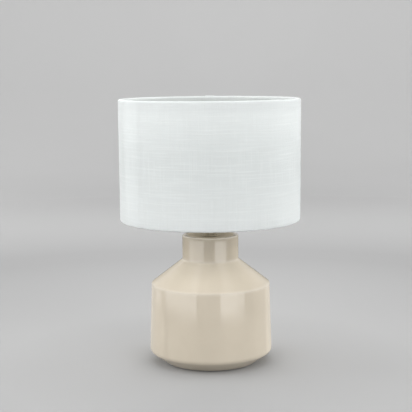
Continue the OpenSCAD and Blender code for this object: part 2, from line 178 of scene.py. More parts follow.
def make_linen():
    """White slub linen in plain weave. The thread coordinates are stored on the mesh, in metres."""
    thread = 0.00062              # from one yarn to the next
    half_way = 0.102              # the middle of the shade's height, along the cloth
    look = Look("white_slub_linen")
    across = look.attribute("thread_u").outputs["Fac"]
    along = look.attribute("thread_v").outputs["Fac"]
    cloth = look.node("ShaderNodeCombineXYZ", {"X": across, "Y": along}).outputs[0]
    warp_wander = look.noise(look.stretch(cloth, (40.0, 9.0, 0.0)), 1.0, 2.0)
    weft_wander = look.noise(look.stretch(cloth, (9.0, 40.0, 0.0)), 1.0, 2.0)
    pull = thread * 1.6
    u = look.math("ADD", across, look.math("MULTIPLY", warp_wander, pull))
    v = look.math("ADD", along, look.math("MULTIPLY", weft_wander, pull))
    # each thread is a round back; over and under alternate like a chessboard
    turn = math.pi / thread
    su = look.math("SINE", look.math("MULTIPLY", u, turn))
    sv = look.math("SINE", look.math("MULTIPLY", v, turn))
    warp_back = look.math("ABSOLUTE", su)
    weft_back = look.math("ABSOLUTE", sv)
    over = look.ramp(look.math("MULTIPLY", su, sv), -0.25, 0.25)
    weave = look.node("ShaderNodeMix", {0: over, 2: weft_back, 3: warp_back}, data_type="FLOAT").outputs[0]
    # thick places in single yarns, both ways
    warp_slub = look.noise(look.stretch(cloth, (900.0, 14.0, 0.0)), 1.0, 2.0, 0.6)
    weft_slub = look.noise(look.stretch(cloth, (11.0, 900.0, 0.0)), 1.0, 2.0, 0.6)
    warp_bar = look.noise(look.stretch(cloth, (430.0, 16.0, 0.0)), 1.0, 2.0, 0.6)
    weft_bar = look.noise(look.stretch(cloth, (13.0, 430.0, 0.0)), 1.0, 2.0, 0.6)
    warp_thick = look.ramp(warp_slub, 0.52, 0.78)
    weft_thick = look.ramp(weft_slub, 0.50, 0.76)
    thick = look.math("MAXIMUM", warp_thick, weft_thick)
    thin = look.math("MINIMUM", look.ramp(warp_slub, 0.25, 0.45), look.ramp(weft_slub, 0.25, 0.45))
    fluff = look.noise(look.stretch(cloth, (1.0, 1.0, 0.0)), 5200.0, 2.0, 0.7)
    tone = look.blend(thick, (0.755, 0.790, 0.795), (0.865, 0.900, 0.903))
    # painted light and shade: the cloth is lighter near the rims and greyer half-way up, more than the
    # studio's light alone makes it
    from_middle = look.math("ABSOLUTE", look.math("SUBTRACT", along, half_way))
    tone = look.blend(look.ramp(from_middle, 0.01, 0.075, 0.0, 0.40), tone, (0.93, 0.965, 0.97))
    tone = look.blend(look.ramp(from_middle, 0.01, 0.075, 0.20, 0.0), tone, (0.60, 0.64, 0.645))
    tone = look.blend(look.ramp(weft_bar, 0.50, 0.72, 0.0, 0.60), tone, (0.920, 0.955, 0.958))
    tone = look.blend(look.ramp(warp_bar, 0.54, 0.74, 0.0, 0.45), tone, (0.920, 0.955, 0.958))
    tone = look.blend(look.ramp(thin, 0.0, 1.0, 0.20, 0.0), tone, (0.66, 0.67, 0.67))
    # painted shade in the dips between the yarns, where each one turns under the next
    tone = look.blend(look.ramp(weave, 0.0, 0.5, 0.22, 0.0), tone, (0.62, 0.62, 0.61))
    tone = look.blend(look.ramp(fluff, 0.35, 0.65, 0.0, 0.10), tone, (0.93, 0.93, 0.92))
    normal = look.bump(weave, 0.00016, 0.55)
    normal = look.bump(thick, 0.00028, 0.60, normal)
    normal = look.bump(fluff, 0.00004, 0.35, normal)
    front = look.principled(
        Base_Color=tone, Roughness=0.92, Normal=normal, Specular_IOR_Level=0.2,
        Sheen_Weight=0.25, Sheen_Roughness=0.45,
    )
    through = look.node("ShaderNodeBsdfTranslucent", {
        "Color": look.blend(thick, (0.90, 0.905, 0.89), (0.74, 0.74, 0.72)), "Normal": normal,
    })
    return look.finish(look.mixed(0.40, front, through.outputs[0]))


def make_lining():
    """Matt white lining film, which shows a little of the weave it is glued to."""
    look = Look("white_lining_film")
    across = look.attribute("thread_u").outputs["Fac"]
    along = look.attribute("thread_v").outputs["Fac"]
    film = look.node("ShaderNodeCombineXYZ", {"X": across, "Y": along}).outputs[0]
    print_through = look.math(
        "MAXIMUM",
        look.noise(look.stretch(film, (700.0, 12.0, 0.0)), 1.0, 2.0),
        look.noise(look.stretch(film, (12.0, 700.0, 0.0)), 1.0, 2.0),
    )
    cloud = look.noise(film, 25.0, 2.0)
    tone = look.blend(look.ramp(cloud, 0.3, 0.7), (0.90, 0.905, 0.895), (0.93, 0.935, 0.925))
    front = look.principled(
        Base_Color=tone, Roughness=0.55, Normal=look.bump(print_through, 0.00012, 0.35),
    )
    through = look.node("ShaderNodeBsdfTranslucent", {"Color": (0.92, 0.925, 0.915)})
    return look.finish(look.mixed(0.60, front, through.outputs[0]))


def make_felt():
    """Pressed grey felt of the resting pad."""
    look = Look("grey_felt")
    place = look.place()
    fibre = look.noise(look.stretch(place, (1.0, 1.0, 0.3)), 2600.0, 5.0, 0.75, 1.5)
    tuft = look.noise(place, 240.0, 3.0)
    tone = look.blend(fibre, (0.030, 0.028, 0.026), (0.150, 0.140, 0.130))
    tone = look.blend(look.ramp(tuft, 0.3, 0.7, 0.0, 0.4), tone, (0.085, 0.08, 0.075))
    return look.finish(look.principled(
        Base_Color=tone, Roughness=1.0, Specular_IOR_Level=0.1,
        Sheen_Weight=0.5, Sheen_Roughness=0.6, Normal=look.bump(fibre, 0.0005, 0.8),
    ))


def make_moulded(name, dark, light, rough_low, rough_high, grain=2200.0, depth=0.00002, ior=1.49):
    """Moulded plastic or rubber: uneven colour and gloss, and a faint mould grain."""
    look = Look(name)
    place = look.place()
    cloud = look.noise(place, 90.0, 3.0)
    tone = look.blend(look.ramp(cloud, 0.3, 0.7), dark, light)
    rough = look.ramp(look.noise(place, 160.0, 4.0), 0.3, 0.7, rough_low, rough_high)
    skin = look.noise(place, grain, 2.0)
    return look.finish(look.principled(
        Base_Color=tone, Roughness=rough, IOR=ior, Normal=look.bump(skin, depth, 0.6),
    ))


def make_metal(name, dark, light, rough_low, rough_high, turned=(1.0, 1.0, 14.0), depth=0.00001):
    """Turned, pressed or plated metal: fine tool lines round the axis and dull patches."""
    look = Look(name)
    place = look.place()
    lines = look.noise(look.stretch(place, turned), 900.0, 3.0, 0.6)
    stain = look.noise(place, 220.0, 4.0, 0.6)
    tone = look.blend(look.ramp(stain, 0.35, 0.70), light, dark)
    rough = look.ramp(stain, 0.3, 0.7, rough_low, rough_high)
    return look.finish(look.principled(
        Base_Color=tone, Metallic=1.0, Roughness=rough, Normal=look.bump(lines, depth, 0.6),
    ))


def make_enamel():
    """White powder coat: orange-peel skin, satin."""
    look = Look("white_powder_coat")
    place = look.place()
    peel = look.noise(place, 1500.0, 2.0, 0.5)
    tone = look.blend(look.noise(place, 60.0, 2.0), (0.80, 0.80, 0.79), (0.86, 0.86, 0.85))
    return look.finish(look.principled(
        Base_Color=tone, Roughness=0.38, Normal=look.bump(peel, 0.00005, 0.5),
    ))


def make_opal():
    """Opal plastic of the bulb's dome, satin outside."""
    look = Look("opal_diffuser")
    place = look.place()
    cloud = look.noise(place, 40.0, 2.0)
    tone = look.blend(cloud, (0.86, 0.86, 0.84), (0.92, 0.92, 0.90))
    front = look.principled(
        Base_Color=tone, Roughness=0.32, Normal=look.bump(look.noise(place, 1800.0), 0.00001, 0.4),
    )
    through = look.node("ShaderNodeBsdfTranslucent", {"Color": (0.92, 0.92, 0.90)})
    return look.finish(look.mixed(0.30, front, through.outputs[0]))


GLAZE = make_glaze()
BISQUE = make_bisque()
LINEN = make_linen()
LINING = make_lining()
FELT = make_felt()
ENAMEL = make_enamel()
OPAL = make_opal()
RUBBER = make_moulded("black_rubber", (0.012, 0.012, 0.013), (0.030, 0.030, 0.032), 0.50, 0.72)
BLACK_PLASTIC = make_moulded("black_nylon", (0.012, 0.012, 0.012), (0.028, 0.028, 0.028), 0.35, 0.5)
WHITE_PLASTIC = make_moulded("ivory_moulding", (0.74, 0.73, 0.69), (0.80, 0.79, 0.76), 0.24, 0.38)
BULB_PLASTIC = make_moulded("bulb_moulding", (0.78, 0.78, 0.77), (0.84, 0.84, 0.83), 0.40, 0.55)
BLOCK = make_moulded("steatite", (0.70, 0.68, 0.62), (0.80, 0.78, 0.73), 0.55, 0.75, 1200.0, 0.00006)
BLACK_GLASS = make_moulded("black_glass", (0.006, 0.006, 0.010), (0.014, 0.014, 0.018), 0.06, 0.14)
ZINC = make_metal("zinc_plate", (0.42, 0.43, 0.45), (0.62, 0.63, 0.64), 0.28, 0.45)
GREY_RUBBER = make_moulded("dusty_grey_rubber", (0.30, 0.26, 0.20), (0.40, 0.35, 0.27), 0.70, 0.85)
DULL_ZINC = make_metal("dull_yellow_zinc", (0.50, 0.45, 0.36), (0.66, 0.60, 0.49), 0.55, 0.72)
BRASS = make_metal("pressed_brass", (0.56, 0.40, 0.16), (0.80, 0.62, 0.30), 0.22, 0.38)
NICKEL = make_metal("nickel_plate", (0.50, 0.48, 0.45), (0.70, 0.68, 0.64), 0.20, 0.34)
SOLDER = make_metal("dull_solder", (0.34, 0.34, 0.35), (0.55, 0.55, 0.56), 0.40, 0.60)
BOARD = make_metal("board_aluminium", (0.60, 0.60, 0.61), (0.78, 0.78, 0.79), 0.30, 0.45)


# ------------------------------------------------------------------ mesh helpers

def link(obj):
    bpy.context.scene.collection.objects.link(obj)
    return obj


def plain_object(name, verts, faces, material=None):
    """An object that is no piece of the lamp: a cutting tool or a part of the stage."""
    mesh = bpy.data.meshes.new(name)
    mesh.from_pydata(verts, [], faces)
    if material:
        mesh.materials.append(material)
    return link(bpy.data.objects.new(name, mesh))


def add_piece(name, verts, faces, materials, body, node, sharp_deg=38.0, shares=None):
    """A mesh piece that rides on a body. It stands for a CAD node, or adds to the CAD if node is None."""
    mesh = bpy.data.meshes.new(name)
    mesh.from_pydata([tuple(v) for v in verts], [], faces)
    mesh.validate()
    for material in materials:
        mesh.materials.append(material)
    for key, values in (shares or {}).items():
        stored = mesh.attributes.new(key, "FLOAT", "POINT")
        stored.data.foreach_set("value", np.asarray(values, np.float32))
    mesh.shade_smooth()
    mesh.set_sharp_from_angle(angle=math.radians(sharp_deg))
    piece = link(bpy.data.objects.new(name, mesh))
    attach(piece, body)
    if node:
        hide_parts(node)
    return piece


def around_axis(radius, height, angle):
    """Points at that radius and height, the angle counted from the front (-Y) towards +X."""
    return np.stack([radius * np.sin(angle), -radius * np.cos(angle), height], -1)


def turned(profile, columns, shift=None):
    """Vertices and faces of a closed outline of (radius, height), turned about the lamp's axis.
    shift(radius, height, angle) gives the changed radius."""
    outline = np.array(profile, float)
    rows = len(outline)
    angle = np.arange(columns) * 2 * math.pi / columns
    r = np.repeat(outline[None, :, 0], columns, 0)
    z = np.repeat(outline[None, :, 1], columns, 0)
    a = np.repeat(angle[:, None], rows, 1)
    if shift:
        r = shift(r, z, a)
    verts = around_axis(r, z, a).reshape(-1, 3)
    faces = []
    for i in range(columns):
        j = (i + 1) % columns
        for k in range(rows):
            m = (k + 1) % rows
            faces.append((i * rows + k, j * rows + k, j * rows + m, i * rows + m))
    return verts, faces


def spaced(path, step):
    """The path with extra points, so that no stretch is longer than step."""
    out = [path[0]]
    for a, b in zip(path[:-1], path[1:]):
        count = max(1, math.ceil(math.dist(a, b) / step - 1e-6))
        for i in range(1, count + 1):
            share = i / count
            out.append((a[0] + (b[0] - a[0]) * share, a[1] + (b[1] - a[1]) * share))
    return out


def arc(centre, radius, start_deg, end_deg, steps):
    points = []
    for i in range(steps + 1):
        a = math.radians(start_deg + (end_deg - start_deg) * i / steps)
        points.append((centre[0] + radius * math.cos(a), centre[1] + radius * math.sin(a)))
    return points


def softened(path, reach):
    """The path with a point added in each short stretch between two more, by the four-point rule."""
    out = [path[0]]
    for i in range(len(path) - 1):
        a, b = path[i], path[i + 1]
        if 0 < i < len(path) - 2:
            p, q = path[i - 1], path[i + 2]
            gap = math.dist(a, b)
            beside = (math.dist(p, a), math.dist(b, q))
            if gap < reach and 0.5 * gap < min(beside) and max(beside) < 2 * gap:
                out.append(tuple(
                    9 / 16 * (a[k] + b[k]) - 1 / 16 * (p[k] + q[k]) for k in (0, 1)))
        out.append(b)
    return out


def smooth_step(x):
    x = np.clip(x, 0, 1)
    return x * x * (3 - 2 * x)


# ------------------------------------------------------------------ shade

shade_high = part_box("shade_fabric")[1]
wire_r = (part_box("top_ring")[1].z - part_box("top_ring")[0].z) / 2


def rim(ring):
    """Centre of a rim's wire, as (radius, height)."""
    low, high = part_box(ring)
    return (high.x - wire_r, (high.z + low.z) / 2)


top_rim = rim("top_ring")
bottom_rim = rim("bottom_ring")
hem_r = shade_high.z - top_rim[1]         # from the wire's centre to the linen's outer face
shade_r_top = top_rim[0] + hem_r
shade_r_bottom = bottom_rim[0] + hem_r

LINEN_T = 0.5 * MM
LINER_DEPTH = 0.86 * MM       # the lining's outer face, behind the linen's outer face
LINER_T = 0.3 * MM
FLAP_DEPTH = 1.55 * MM        # the turned-in linen's glued face
HEM_TURN = 200                # how far round the wire the linen goes, in degrees
HEM_H = 14 * MM
LAP = 12 * MM                 # overlap of the linen's two ends
SEAM_X = -6 * MM              # the lap's free edge, at the back
LIFT_IN = 5 * MM              # how gradually the overlapping end rises
ROW = 1.6 * MM                # mesh spacing on the linen
SLUBS = 420


def section_normals(path):
    """Unit normals of a path of (radius, height), to the right of its direction of travel."""
    p = np.array(path)
    step = np.gradient(p, axis=0)
    step /= np.linalg.norm(step, axis=1)[:, None]
    return np.stack([step[:, 1], -step[:, 0]], 1)


def lengths(path):
    p = np.array(path)
    return np.concatenate([[0], np.cumsum(np.linalg.norm(np.diff(p, axis=0), axis=1))])


def end_cap(outer, inner, offset):
    """Triangles that close a strip's cut end, walking up its two faces together."""
    far = offset + len(outer) + len(inner) - 1
    up = lengths(outer) / lengths(outer)[-1]
    back = lengths(inner) / lengths(inner)[-1]
    faces = []
    i, j = 0, 0
    while i < len(outer) - 1 or j < len(inner) - 1:
        if j == len(inner) - 1 or (i < len(outer) - 1 and up[i + 1] <= back[j + 1]):
            faces.append((offset + i, far - j, offset + i + 1))
            i += 1
        else:
            faces.append((offset + i, far - j, far - j - 1))
            j += 1
    return faces


def slub_relief(u, v, rng):
    """Raised thick places in single yarns, in metres, at cloth coordinates u and v."""
    relief = np.zeros_like(u)
    columns, rows = u[:, 0], v[0]
    for _ in range(SLUBS):
        half = rng.uniform(0.008, 0.045)
        rise = rng.uniform(0.03, 0.11) * MM
        cu = rng.choice(columns)
        cv = rng.choice(rows)
        if rng.random() < 0.45:
            across, along = (u - cu) / ROW, (v - cv) / half
        else:
            across, along = (v - cv) / ROW, (u - cu) / half
        relief += rise * np.clip(1 - np.abs(across), 0, 1) * np.clip(1 - along ** 2, 0, 1)
    return relief


def wrapped_strip(name, outer, inner, columns, lap, edge, raised, material, node, relief=None):
    """A strip wrapped once round the shade, its ends lapped. outer and inner are its two faces, as
    paths of (radius, height) the same way. edge is the angle of the upper end, which is raised."""
    section = np.array(outer + inner[::-1])
    normal = np.concatenate([section_normals(outer), section_normals(inner)[::-1]])
    path = np.concatenate([lengths(outer), lengths(inner)[::-1]])
    rows = len(section)
    start = edge - lap / shade_r_top - 2 * math.pi
    angle = np.linspace(start, edge, columns)
    u = np.repeat(((angle - start) * shade_r_top)[:, None], rows, 1)
    v = np.repeat(path[None], columns, 0)
    into_lap = u - 2 * math.pi * shade_r_top
    away = raised * smooth_step((into_lap + LIFT_IN) / LIFT_IN)
    if relief is not None:
        half = len(outer)
        bumps = relief(u[:, :half], v[:, :half])
        from_end = np.minimum(v[:, :half], path[half - 1] - v[:, :half])
        away[:, :half] += bumps * smooth_step((from_end - 1.6 * HEM_H) / (0.4 * HEM_H))
    r = section[None, :, 0] + away * normal[None, :, 0]
    z = section[None, :, 1] + away * normal[None, :, 1]
    a = np.repeat(angle[:, None], rows, 1)
    verts = around_axis(r, z, a).reshape(-1, 3)
    faces = []
    for i in range(columns - 1):
        for k in range(rows):
            m = (k + 1) % rows
            faces.append((i * rows + k, (i + 1) * rows + k, (i + 1) * rows + m, i * rows + m))
    last = (columns - 1) * rows
    faces += [tuple(reversed(f)) for f in end_cap(outer, inner, 0)]
    faces += end_cap(outer, inner, last)
    shares = {"thread_u": u.reshape(-1), "thread_v": v.reshape(-1)}
    return add_piece(name, verts, faces, [material], "shade", node, 60.0, shares)


def hem(centre, outer_r, r, depth, up):
    """One face of the linen at a rim: round the wire, back to the lining, and to the cut edge."""
    round_wire = arc(centre, r, 0, up * HEM_TURN, 14)
    last = round_wire[-1]
    x_end = outer_r - depth
    slant = (x_end - last[0]) / -math.sin(math.radians(HEM_TURN))
    z_end = last[1] + up * slant * math.cos(math.radians(HEM_TURN))
    return round_wire + [(x_end, z_end), (x_end, centre[1] + up * (hem_r - HEM_H))]


def linen_face(r, depth, step):
    """A whole face of the linen, from the cut edge inside the bottom rim to the one inside the top."""
    low = hem(bottom_rim, shade_r_bottom, r, depth, -1)[::-1]
    high = hem(top_rim, shade_r_top, r, depth, 1)
    return low + spaced([low[-1], high[0]], step)[1:-1] + high


def make_shade():
    rng = np.random.default_rng(SEED)
    outer = linen_face(hem_r, FLAP_DEPTH + LINEN_T, ROW)
    inner = linen_face(hem_r - LINEN_T, FLAP_DEPTH, 20 * MM)
    seam = math.pi + math.asin(-SEAM_X / shade_r_top)
    linen = wrapped_strip(
        "linen_cover", outer, inner, 470, LAP, seam, LINEN_T + 0.05 * MM, LINEN,
        "shade_fabric", lambda u, v: slub_relief(u, v, rng))

    end = wire_r + 0.15 * MM
    film_out = [(shade_r_bottom - LINER_DEPTH, bottom_rim[1] + end),
                (shade_r_top - LINER_DEPTH, top_rim[1] - end)]
    film_in = [(r - LINER_T, z) for r, z in film_out]
    wrapped_strip("lining_film", spaced(film_out, 12 * MM), spaced(film_in, 12 * MM), 240, 9 * MM,
                  seam + 0.02, -LINER_T - 0.03 * MM, LINING, "shade_liner")


make_shade()


# ------------------------------------------------------------------ ceramic base

def turned_faces(node):
    """The outside and the inside of a turned CAD node's front half: two sets of (radius, height)."""
    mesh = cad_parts[node].data
    outside, inside = set(), set()
    for face in mesh.polygons:
        radius = math.hypot(face.center.x, face.center.y)
        if face.center.y > 0 or radius < 1e-4:
            continue
        facing = (face.normal.x * face.center.x + face.normal.y * face.center.y) / radius
        if abs(facing) < 0.03:
            continue
        for i in face.vertices:
            co = mesh.vertices[i].co
            spot = (round(math.hypot(co.x, co.y), 5), round(co.z, 5))
            (outside if facing > 0 else inside).add(spot)
    return outside, inside


ROD_HOLE_R = 5.25 * MM
FLOOR_HOLE_R = 30 * MM
PAD_RECESS_R = 55.5 * MM
PAD_RECESS_Z = 3 * MM
NECK_FLOOR_Z = 170 * MM       # underside of the neck's top wall
FLOOR_Z = 8.2 * MM
GLAZE_END_R = 66.2 * MM       # the glaze is wiped off the foot inside this radius
DISH_R = 37 * MM              # the dished top's rim, where the dull glaze and the painted shade end
INLET_Z = 30 * MM
INLET_R = 5 * MM
SPOT_R = 8.2 * MM             # flat seat of the inlet bush
SPOT_Y = 84.7 * MM
# edges where the glaze runs thin, paler still as a painted highlight along the shoulder's crease, and a
# painted highlight line in the hollow at the neck's foot: radius, height, width in mm, and how pale
THIN_GLAZE_AND_PAINTED_HIGHLIGHTS = ((82.2, 110.2, 2.2, 1.0), (38.6, 177.2, 1.6, 1.0), (39.3, 144.6, 2.0, 1.0), (66, 2, 2.5, 0.6))


def by_height(spots, keep):
    return sorted((s for s in spots if keep(s)), key=lambda s: s[1])


def by_radius(spots, keep):
    return sorted((s for s in spots if keep(s)), key=lambda s: -s[0])


def hand_made(r, z, a):
    """The slight unevenness of a cast and sponged wall, up to about 0.1 mm."""
    wave = (0.40 * np.sin(3 * a + 21 * z / 0.1 + 0.6) + 0.30 * np.sin(5 * a - 13 * z / 0.1 + 2.1)
            + 0.18 * np.sin(11 * a + 34 * z / 0.1 + 4.0) + 0.12 * np.sin(17 * a - 47 * z / 0.1 + 1.1))
    hold = smooth_step((r - 36 * MM) / (3 * MM)) * smooth_step((z - 4 * MM) / (10 * MM))
    return r - (0.05 * MM) * (1 + wave) * hold


def cutter(name, radius, start_y, end_y):
    """A cylinder through the back wall, at the cord inlet's height."""
    verts, faces = [], []
    steps = 48
    for y in (start_y, end_y):
        for i in range(steps):
            a = 2 * math.pi * i / steps
            verts.append((radius * math.cos(a), y, INLET_Z + radius * math.sin(a)))
    for i in range(steps):
        j = (i + 1) % steps
        faces.append((i, j, steps + j, steps + i))
    faces.append(tuple(range(steps))[::-1])
    faces.append(tuple(range(steps, 2 * steps)))
    return plain_object(name, verts, faces)


def cut(piece, tools):
    """Takes the tools out of the piece's mesh, and removes the tools."""
    for tool in tools:
        step = piece.modifiers.new("cut", "BOOLEAN")
        step.operation = "DIFFERENCE"
        step.solver = "EXACT"
        step.object = tool
    bpy.context.view_layer.update()
    shaped = bpy.data.meshes.new_from_object(
        piece.evaluated_get(bpy.context.evaluated_depsgraph_get()))
    piece.modifiers.clear()
    old = piece.data
    piece.data = shaped
    bpy.data.meshes.remove(old)
    for tool in tools:
        bpy.data.objects.remove(tool)


def make_ceramic():
    outside, inside = turned_faces("ceramic_body")
    seat_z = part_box("neck_gasket")[0].z
    outer = by_height(outside, lambda s: s[0] > 33 * MM)
    dish = by_radius(inside, lambda s: s[1] > seat_z - 1e-5 and s[0] < outer[-1][0] - 1e-5)
    inner = by_height(inside, lambda s: s[0] > FLOOR_HOLE_R + MM and FLOOR_Z - 1e-4 < s[1] < seat_z - MM)
    for _ in range(2):
        outer = softened(outer, 5 * MM)
    outer = spaced(outer, 2.5 * MM)
    inner = spaced(inner, 9 * MM)[::-1]
    outline = (outer + spaced(dish, 3 * MM)
               + [(ROD_HOLE_R, seat_z), (ROD_HOLE_R, NECK_FLOOR_Z)]
               + inner
               + [(FLOOR_HOLE_R, FLOOR_Z), (FLOOR_HOLE_R, PAD_RECESS_Z),
                  (PAD_RECESS_R, PAD_RECESS_Z), (PAD_RECESS_R, outer[0][1])])
    verts, faces = turned(outline, 256, hand_made)
    piece = add_piece("glazed_base", verts, faces, [GLAZE, BISQUE], "base", "ceramic_body")
    cut(piece, [cutter("cut_inlet", INLET_R, 0.07, 0.10), cutter("cut_spot", SPOT_R, SPOT_Y, 0.10)])
    mesh = piece.data
    outer_r = dict((round(z, 5), r) for r, z in outer)
    heights = np.array(sorted(outer_r))
    radii = np.array([outer_r[h] for h in heights])
    for face in mesh.polygons:
        centre = face.center
        radius = math.hypot(centre.x, centre.y)
        on_outside = radius > np.interp(centre.z, heights, radii) - 1.2 * MM
        on_top = centre.z > seat_z - 0.1 * MM
        glazed = (on_outside and (radius > GLAZE_END_R or centre.z > 10 * MM)) or on_top
        face.material_index = 0 if glazed else 1
    co = np.empty(len(mesh.vertices) * 3)
    mesh.vertices.foreach_get("co", co)
    r = np.hypot(co[0::3], co[1::3])
    z = co[2::3]
    in_dish = smooth_step((DISH_R - r) / (6 * MM)) * (z > seat_z - 0.1 * MM)
    # painted shade: the dished top under the lampshade is made darker through this attribute
    edge = -0.9 * in_dish
    # paler where the glaze runs thin, and painted highlights on the shoulder's crease and the neck's foot
    for edge_r, edge_z, wide, pale in THIN_GLAZE_AND_PAINTED_HIGHLIGHTS:
        away = (r - edge_r * MM) ** 2 + (z - edge_z * MM) ** 2
        edge += pale * np.exp(-away / (wide * MM) ** 2)
    stored = mesh.attributes.new("edge", "FLOAT", "POINT")
    stored.data.foreach_set("value", edge.astype(np.float32))
    mesh.shade_smooth()
    mesh.set_sharp_from_angle(angle=math.radians(38))


make_ceramic()


# ------------------------------------------------------------------ resting pad

def make_pad():
    low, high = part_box("base_pad")
    radius = high.x
    rise = high.z
    outline = [(0.2 * MM, 0), (radius * 0.5, 0), (radius - 0.8 * MM, 0), (radius - 0.25 * MM, 0.5 * MM),
               (radius - 0.12 * MM, rise / 2), (radius - 0.2 * MM, rise - 0.3 * MM),
               (radius - 0.5 * MM, rise), (radius * 0.5, rise), (0.2 * MM, rise)]
    rng = np.random.default_rng(SEED + 1)
    ragged = rng.uniform(-0.12, 0.0, 360) * MM

    def shift(r, z, a):
        return r + np.where(r > radius * 0.9, ragged[:, None], 0)

    verts, faces = turned(outline, 360, shift)
    pad = add_piece("felt_pad", verts, faces, [FELT], "base", "base_pad")


make_pad()


# ------------------------------------------------------------------ threads

SCREW_PITCH = 3.6317 * MM     # the bulb's rise in one turn, as the joints couple it
HOLDER_PITCH = 2.5 * MM


def helix(z, a, pitch, from_z):
    """1 on a right-handed thread's crest and -1 in its root."""
    return np.cos(2 * math.pi * ((z - from_z) / pitch) - a)


def make_skirt():
    low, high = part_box("holder_skirt")
    ring_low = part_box("shade_ring")[0]
    flange_r = high.x
    thread_r = 19.6 * MM
    spigot_r = 20.6 * MM
    in_r = 16 * MM
    mouth_r = 14.3 * MM
    plug_r = 17.2 * MM
    cap_z = low.z + 4.5 * MM
    seat_z = cap_z + 3 * MM
    thread_z = ring_low.z - 0.05 * MM
    top_z = high.z
    step = 0.28 * MM
    outside = (
        spaced([(plug_r, low.z), (plug_r, cap_z)], 2 * MM)
        + arc((flange_r - 0.6 * MM, cap_z + 0.6 * MM), 0.6 * MM, -90, 0, 4)
        + arc((flange_r - 0.3 * MM, seat_z - 0.3 * MM), 0.3 * MM, 0, 90, 3)
        + [(spigot_r, seat_z), (spigot_r, thread_z)]
        + spaced([(thread_r, thread_z), (thread_r, top_z - 0.8 * MM)], step)
        + arc((thread_r - 0.8 * MM, top_z - 0.8 * MM), 0.8 * MM, 0, 90, 5)[1:])
    inside = [(mouth_r + 0.5 * MM, top_z), (mouth_r, top_z - 0.5 * MM), (mouth_r, top_z - 2 * MM),
              (in_r, top_z - 3 * MM), (in_r, (low.z + top_z) / 2), (in_r, low.z)]

    def shift(r, z, a):
        wave = helix(z, a, HOLDER_PITCH, thread_z)
        depth = 0.7 * MM * np.clip(0.5 - 1.1 * wave, 0, 1)
        runs = smooth_step((z - thread_z - 1.0 * MM) / (2 * MM)) * smooth_step((top_z - 1.2 * MM - z) / MM)
        on_thread = np.abs(r - thread_r) < 0.01 * MM
        return r - depth * runs * on_thread

    verts, faces = turned(outside + inside, 144, shift)
    add_piece("threaded_skirt", verts, faces, [WHITE_PLASTIC], "base", "holder_skirt",
              50.0)


def make_screw_shell():
    low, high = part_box("screw_shell")
    out_r = high.x
    skin = 0.35 * MM
    step = 0.3 * MM
    floor_r = 9 * MM
    start_z = low.z + 4 * MM
    crest_r = out_r - 0.1 * MM
    wall_out = spaced([(crest_r, low.z + 0.5 * MM), (crest_r, high.z)], step)
    wall_in = [(r - skin, z) for r, z in wall_out[::-1]]
    outline = ([(floor_r, low.z), (out_r - 0.5 * MM, low.z)] + wall_out
               + wall_in[:-1] + [(out_r - 0.6 * MM, low.z + 0.5 * MM), (floor_r, low.z + 0.5 * MM)])

    def shift(r, z, a):
        wave = helix(z, a, SCREW_PITCH, SHELL_PHASE_Z)
        runs = smooth_step((z - start_z) / (2 * MM)) * smooth_step((high.z - z) / (1.5 * MM))
        return r - 0.38 * MM * (1 - wave) * runs * (r > out_r - MM)

    verts, faces = turned(outline, 144, shift)
    add_piece("rope_thread_shell", verts, faces, [BRASS], "base", "screw_shell", 50.0)


def make_bulb_cap():
    low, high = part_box("bulb_cap")
    out_r = high.x
    skin = 0.35 * MM
    step = 0.3 * MM
    in_r = 10.45 * MM
    wall = spaced([(out_r, low.z + 2.5 * MM), (out_r, high.z)], step)
    back = [(r - skin, z) for r, z in wall[::-1]]
    outline = ([(in_r, low.z), (out_r - 1.1 * MM, low.z), (out_r - 0.6 * MM, low.z + 0.6 * MM)] + wall
               + back + [(out_r - 1.2 * MM, low.z + 0.6 * MM), (in_r, low.z + 0.5 * MM)])

    def shift(r, z, a):
        wave = helix(z, a, SCREW_PITCH, SHELL_PHASE_Z)
        runs = smooth_step((z - low.z - 2 * MM) / (2 * MM)) * smooth_step((high.z - 2 * MM - z) / (2 * MM))
        return r - 0.42 * MM * (1 - wave) * runs * (r > out_r - 0.5 * MM)

    verts, faces = turned(outline, 144, shift)
    add_piece("rope_thread_cap", verts, faces, [NICKEL], "bulb", "bulb_cap", 50.0)


SHELL_PHASE_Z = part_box("bulb_cap")[0].z
make_skirt()
make_screw_shell()
make_bulb_cap()


# ------------------------------------------------------------------ weld beads on the carrier

def bead(verts, faces, centre, size):
    """A small uneven lump, as a squashed and dented ball."""
    rings, columns = 7, 12
    start = len(verts)
    for i in range(rings + 1):
        polar = math.pi * i / rings
        for j in range(columns):
            a = 2 * math.pi * j / columns
            way = Vector((math.sin(polar) * math.cos(a), math.sin(polar) * math.sin(a), math.cos(polar)))
            swell = 1 + 0.12 * noise.noise(way * 2.1 + centre * 900)
            verts.append(centre + Vector([way[k] * size[k] * swell for k in range(3)]))
    for i in range(rings):
        for j in range(columns):
            m = (j + 1) % columns
            faces.append((start + i * columns + j, start + (i + 1) * columns + j,
                          start + (i + 1) * columns + m, start + i * columns + m))


def make_welds():
    """A fused bead where each arm meets the bottom rim, and one under the washer."""
    washer_low, washer_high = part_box("carrier_washer")
    verts, faces = [], []
    for arm in range(3):
        a = math.radians(90 + 120 * arm)
        out = Vector((math.cos(a), math.sin(a), 0))
        ring_side = out * (bottom_rim[0] - wire_r - 0.2 * MM) + Vector((0, 0, bottom_rim[1]))
        bead(verts, faces, ring_side, (1.9 * MM, 1.9 * MM, 1.7 * MM))
        under = out * (washer_high.x - 1.5 * MM) + Vector((0, 0, washer_low.z - 0.7 * MM))
        bead(verts, faces, under, (2.6 * MM, 2.6 * MM, 0.9 * MM))
    add_piece("weld_beads", verts, faces, [ENAMEL], "shade", None, 80.0)


make_welds()


# ------------------------------------------------------------------ finishes of the CAD parts that stay

